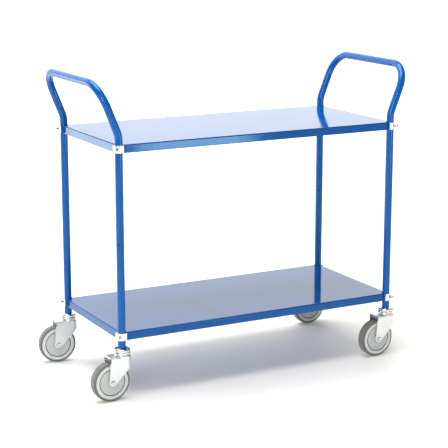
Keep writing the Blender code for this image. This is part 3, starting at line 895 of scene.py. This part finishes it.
def core_piece(name):
    """The moulded core: a hub, a slightly dished disc, a groove and the rim's flat ring."""
    face = WHEEL_WIDTH / 2
    disc = face - 0.0010
    half = [(AXLE_RADIUS + GAP, face + 0.0030), (0.0106, face + 0.0030)]
    half += [(0.0112, face + 0.0026), (0.0122, disc + 0.0004), (0.0132, disc - 0.0006)]
    half += [(0.0150, disc - 0.0010), (0.0180, disc - 0.0006), (0.0300, disc - 0.0002)]
    half += [(DISC_RADIUS - 0.0008, disc), (DISC_RADIUS - 0.0002, disc - 0.0003)]
    half += [(DISC_RADIUS, disc - 0.0030), (DISC_RADIUS + 0.0023, disc - 0.0030)]
    half += [(DISC_RADIUS + 0.0024, face - 0.0005), (DISC_RADIUS + 0.0028, face)]
    half += [(CORE_RADIUS - 0.0010, face), (CORE_RADIUS - 0.0003, face - 0.0003)]
    half += [(CORE_RADIUS, face - 0.0012)]
    return turned(both_faces(half), name, 128)


def tyre_piece(name):
    """The tyre: a thick band round the core with rounded shoulders and a mould line."""
    face = WHEEL_WIDTH / 2
    half = [(CORE_RADIUS + GAP, face - 0.0014), (CORE_RADIUS + 0.0008, face - 0.0006)]
    shoulder = 0.0570
    half.append((shoulder, face - 0.0007))
    half += fillet((shoulder, face - 0.0057), 0.0050, 82, 18, 8)
    half += [(WHEEL_RADIUS - 0.0003, face - 0.0075), (WHEEL_RADIUS, face - 0.0110)]
    half += [(WHEEL_RADIUS, 0.0008), (WHEEL_RADIUS - 0.0003, 0.0003)]
    return turned(both_faces(half), name, 160)


def make_castors():
    """Each castor's pieces, on the frame, on its swivelling body or on its wheel."""
    plans = {
        "swivel_head": (head_piece, HEAD_ZINC, "zinc_castor", leg_matrix, "frame"),
        "fork": (fork_piece, FORK_ZINC, "zinc_castor", swivel_matrix, "swivel"),
        "axle_bolt": (axle_bolt_piece, BOLT_ZINC, "zinc_fastener", axle_matrix, "swivel"),
        "axle_nut": (axle_nut_piece, BOLT_ZINC, "zinc_fastener", axle_matrix, "swivel"),
        "wheel_core": (core_piece, CORE, "core_plastic", axle_matrix, "wheel"),
        "tyre": (tyre_piece, TYRE, "tyre_rubber", axle_matrix, "wheel"),
    }
    for kind, (make, material, slot, matrix_of, body) in plans.items():
        nodes = [f"{kind}_{corner}" for corner in CORNERS]

        def place(node, kind=kind, matrix_of=matrix_of):
            return matrix_of(node.removeprefix(f"{kind}_"))

        def body_of(node, kind=kind, body=body):
            return body if body == "frame" else f"{body}_{node.removeprefix(f'{kind}_')}"

        copies(make, material, slot, place, body_of, nodes)


def dress_hidden_nodes():
    """The leg inserts and king bolts keep their CAD shape and take a finish."""
    looks = {
        "leg_insert": (DARK, "insert_plastic"),
        "king_bolt": (BOLT_ZINC, "zinc_fastener"),
    }
    for corner in CORNERS:
        for kind, (material, slot) in looks.items():
            obj = frame["nodes"][f"{kind}_{corner}"]
            finished(obj, material)


# ---- stage, light and camera -----------------------------------------------------------

ROOM_LIGHT = 0.22
FLOOR_SIZE = 60.0
FLOOR_GLOW = 0.085
# Past the studio, where no lamp reaches it, the floor glows pale by itself.
STUDIO_EDGE = 4.4
BACKDROP_Y = 3.0
BACKDROP_GLOW = 1.60
LENS = 116.25
CAMERA_FROM_MIDDLE = (-2.2354, -4.1787, 1.530)
CAMERA_DIP = 12.679
CAMERA_TURN = -27.977


def make_floor():
    """A pale paper floor."""
    work = bmesh.new()
    bmesh.ops.create_grid(work, x_segments=2, y_segments=2, size=FLOOR_SIZE)
    floor = object_from(work, "floor")
    made = Shader("floor_paper")
    fibre = made.noise(14.0, 5.0)
    base = made.mix(fibre, (0.93, 0.925, 0.915, 1), (0.95, 0.945, 0.935, 1))
    reach = made.length(made.place)
    whitening = made.ramp(reach, STUDIO_EDGE, STUDIO_EDGE + 2.1)
    material = made.finish(
        Base_Color=base,
        Roughness=0.6,
        Specular_IOR_Level=0.25,
        Emission_Color=made.mix(whitening, (1.0, 0.93, 0.80, 1), (1, 1, 1, 1)),
        Emission_Strength=made.ramp(reach, STUDIO_EDGE, STUDIO_EDGE + 3.1, FLOOR_GLOW, 0.9),
    )
    floor.data.materials.append(material)


def make_backdrop():
    """An evenly lit paper wall behind the trolley, clear when looked at from its back."""
    work = bmesh.new()
    left, right, bottom, top = -5, 9, -0.2, 5
    corners = ((left, bottom), (right, bottom), (right, top), (left, top))
    work.faces.new([work.verts.new((x, BACKDROP_Y, z)) for x, z in corners])
    wall = object_from(work, "backdrop")
    made = Shader("backdrop_paper")
    glow = made.ramp(made.noise(0.4, 1.0), 0.3, 0.7, 0.97 * BACKDROP_GLOW, 1.03 * BACKDROP_GLOW)
    made.finish(
        Base_Color=(0, 0, 0, 1),
        Specular_IOR_Level=0.0,
        Emission_Color=(1.0, 0.98, 0.88, 1),
        Emission_Strength=glow,
    )
    side = made.node("ShaderNodeNewGeometry").outputs["Backfacing"]
    clear = made.node("ShaderNodeBsdfTransparent").outputs[0]
    both = made.node("ShaderNodeMixShader", {0: side, 1: made.surface.outputs[0], 2: clear})
    made.put(made.tree.nodes["Material Output"].inputs["Surface"], both.outputs[0])
    wall.data.materials.append(made.material)


def make_world():
    """A softly lit white room, and plain white for the camera."""
    world = bpy.data.worlds.new("studio")
    bpy.context.scene.world = world
    world.use_nodes = True
    tree = world.node_tree
    tree.nodes.clear()
    lit = tree.nodes.new("ShaderNodeBackground")
    lit.inputs["Color"].default_value = (1.0, 0.99, 0.97, 1)
    lit.inputs["Strength"].default_value = ROOM_LIGHT
    seen = tree.nodes.new("ShaderNodeBackground")
    seen.inputs["Color"].default_value = (1, 1, 1, 1)
    path = tree.nodes.new("ShaderNodeLightPath")
    mix = tree.nodes.new("ShaderNodeMixShader")
    tree.links.new(path.outputs["Is Camera Ray"], mix.inputs[0])
    tree.links.new(lit.outputs[0], mix.inputs[1])
    tree.links.new(seen.outputs[0], mix.inputs[2])
    out = tree.nodes.new("ShaderNodeOutputWorld")
    tree.links.new(mix.outputs[0], out.inputs["Surface"])


def softbox(name, place, target, size, glow):
    """A rectangular lamp that faces its target. Its face is as bright at any size."""
    width, height = size
    light = bpy.data.lights.new(name, "AREA")
    light.shape = "RECTANGLE"
    light.size = width
    light.size_y = height
    light.energy = glow * math.pi * width * height
    light.color = (1.0, 0.985, 0.96)
    obj = bpy.data.objects.new(name, light)
    bpy.context.scene.collection.objects.link(obj)
    obj.location = place
    obj.rotation_euler = (Vector(target) - Vector(place)).to_track_quat("-Z", "Y").to_euler()
    obj.visible_camera = False


def make_lights():
    low, middle = (0, 0, 0.45), (0, 0, 0.5)
    front = (0, -0.3, 0.26)
    softbox("overhead_softbox", place=(-0.6, 0.2, 4.2), target=middle, size=(3.4, 3.0), glow=7.0)
    softbox("left_rear_softbox", place=(-2.0, 2.7, 0.45), target=low, size=(2.0, 0.9), glow=2.2)
    softbox("front_reflector", place=(1.43, -3.5, 0.26), target=front, size=(0.66, 0.5), glow=7.6)
    softbox("front_left_softbox", place=(-3.2, -3.4, 2.0), target=middle, size=(2.0, 2.0), glow=6.0)


def make_camera():
    """A long lens at the front left, a little above the upper shelf."""
    data = bpy.data.cameras.new("camera")
    data.sensor_width = 36.0
    data.lens = LENS
    data.clip_end = 200.0
    camera = bpy.data.objects.new("camera", data)
    bpy.context.scene.collection.objects.link(camera)
    camera.location = MIDDLE + Vector(CAMERA_FROM_MIDDLE)
    camera.rotation_euler = (math.radians(90 - CAMERA_DIP), 0, math.radians(CAMERA_TURN))
    bpy.context.scene.camera = camera


make_frame(-1, "left_frame")
make_frame(1, "right_frame")
make_shelf("upper")
make_shelf("lower")
make_corner_fasteners()
make_castors()
dress_hidden_nodes()
make_floor()
make_backdrop()
make_world()
make_lights()
make_camera()
bpy.context.scene.view_settings.view_transform = "Standard"
